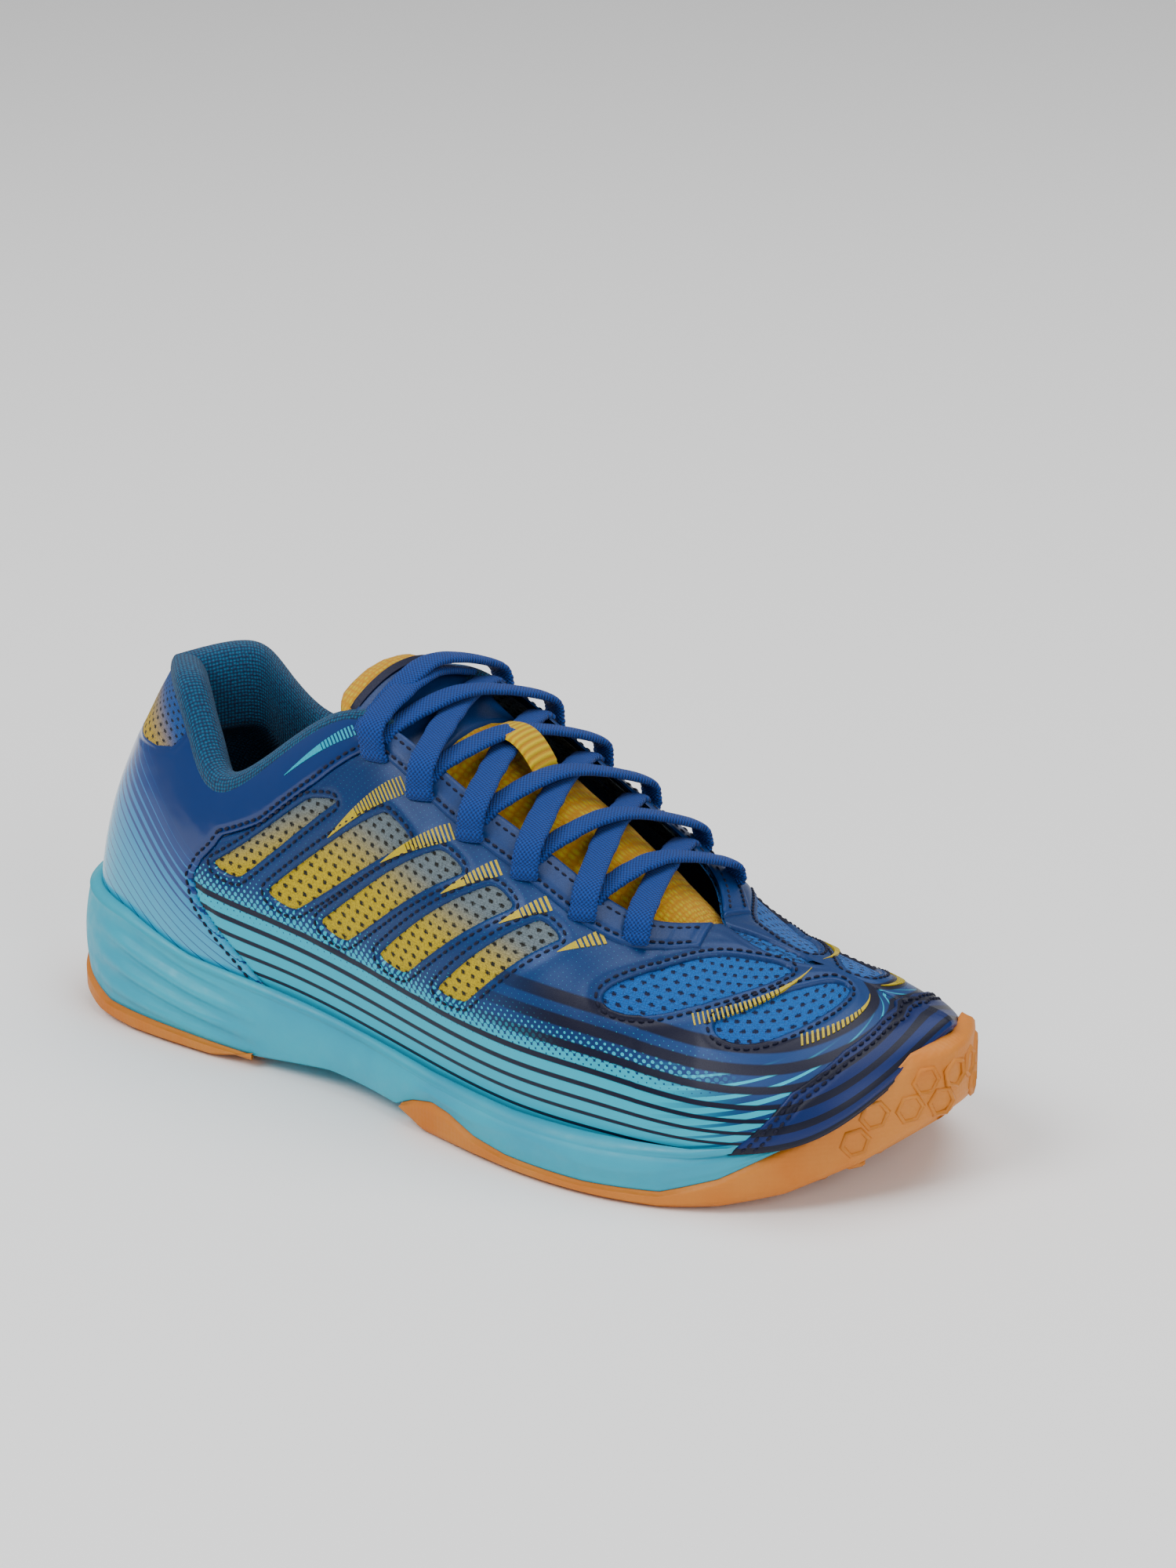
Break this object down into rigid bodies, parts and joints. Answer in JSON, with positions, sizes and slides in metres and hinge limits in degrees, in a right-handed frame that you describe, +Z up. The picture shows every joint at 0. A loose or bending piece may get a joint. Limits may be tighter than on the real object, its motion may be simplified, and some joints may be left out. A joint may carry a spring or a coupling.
{
  "type": "court shoe",
  "caption": "Low-cut indoor court shoe for the right foot: gum rubber outsole, foam midsole, mesh upper under bonded overlays, padded collar and tongue, flat laces",
  "frame": {"origin": "middle of the shoe's box seen from above, on the floor that the sole rests on", "axes": "+X from heel to toe, +Y to the inner (medial) side of a right foot, +Z up"},
  "size_m": [0.288, 0.1107, 0.121],
  "materials": {
    "gum_rubber": "fine-textured gum rubber",
    "midsole_foam": "moulded EVA foam, satin",
    "cushion_foam": "soft polyurethane insert",
    "shank_plastic": "moulded nylon",
    "board_felt": "non-woven board",
    "insole_foam": "knit-topped foam",
    "window_mesh": "open air mesh with dark ground",
    "vamp_mesh_fabric": "sandwich mesh",
    "satin_blue_skin": "satin metallic synthetic leather",
    "patent_blue_skin": "patent synthetic leather",
    "pale_blue_skin": "glossy synthetic leather with pinstripes",
    "navy_skin": "satin synthetic leather",
    "navy_backing": "reinforcing tape",
    "heel_patch_mesh": "dotted sandwich mesh",
    "lining_knit": "coarse brushed knit",
    "padding_foam": "open-cell foam",
    "counter_board": "heat-formed sheet",
    "yellow_mesh": "open mesh over foam",
    "tongue_skin": "satin synthetic leather",
    "yellow_webbing": "ribbed webbing",
    "lace_cord": "flat woven lace"
  },
  "bodies": {
    "rearfoot": {"outsole_heel": "gum_rubber", "outsole_ball": "gum_rubber", "midsole_rear": "midsole_foam", "heel_cushion": "cushion_foam", "shank_plate": "shank_plastic", "lasting_board": "board_felt", "insole": "insole_foam", "quarter_mesh_lateral": "window_mesh", "quarter_mesh_medial": "window_mesh", "heel_mesh": "window_mesh", "vamp_crease": "vamp_mesh_fabric", "claw_overlay_lateral": "satin_blue_skin", "claw_overlay_medial": "satin_blue_skin", "collar_overlay_lateral": "patent_blue_skin", "collar_overlay_medial": "patent_blue_skin", "eyestay_lateral": "navy_backing", "eyestay_medial": "navy_backing", "quarter_lining_lateral": "lining_knit", "quarter_lining_medial": "lining_knit", "heel_overlay": "pale_blue_skin", "heel_collar_patch": "heel_patch_mesh", "heel_counter": "counter_board", "heel_lining": "lining_knit", "collar_padding": "padding_foam", "collar_lining": "lining_knit", "tongue_mesh": "yellow_mesh", "tongue_padding": "padding_foam", "tongue_lining": "lining_knit", "lace_loop": "yellow_webbing", "lace": "lace_cord"},
    "forefoot": {"outsole_toe": "gum_rubber", "midsole_front": "midsole_foam", "forefoot_cushion": "cushion_foam", "vamp_mesh": "vamp_mesh_fabric", "vamp_overlay": "satin_blue_skin", "toe_cap": "navy_skin", "vamp_lining": "lining_knit", "toe_puff": "counter_board"},
    "tongue_flap": {"flap_mesh": "yellow_mesh", "flap_padding": "padding_foam", "flap_lining": "lining_knit", "tongue_panel": "tongue_skin", "tongue_binding": "navy_skin"}
  },
  "joints": [
    {"name": "forefoot_bend", "type": "hinge", "parent": "rearfoot", "child": "forefoot", "pos_m": [0.062, 0, 0.016], "axis": [0, -1, 0], "range_deg": [0, 20], "stiffness_Nm_per_rad": 3, "deforming": ["vamp_crease", "insole", "lasting_board"]},
    {"name": "tongue_bend", "type": "hinge", "parent": "rearfoot", "child": "tongue_flap", "pos_m": [-0.016, 0, 0.1055], "axis": [0, -1, 0], "range_deg": [0, 20], "stiffness_Nm_per_rad": 0.15, "deforming": ["tongue_mesh", "tongue_padding", "tongue_lining"]}
  ]
}
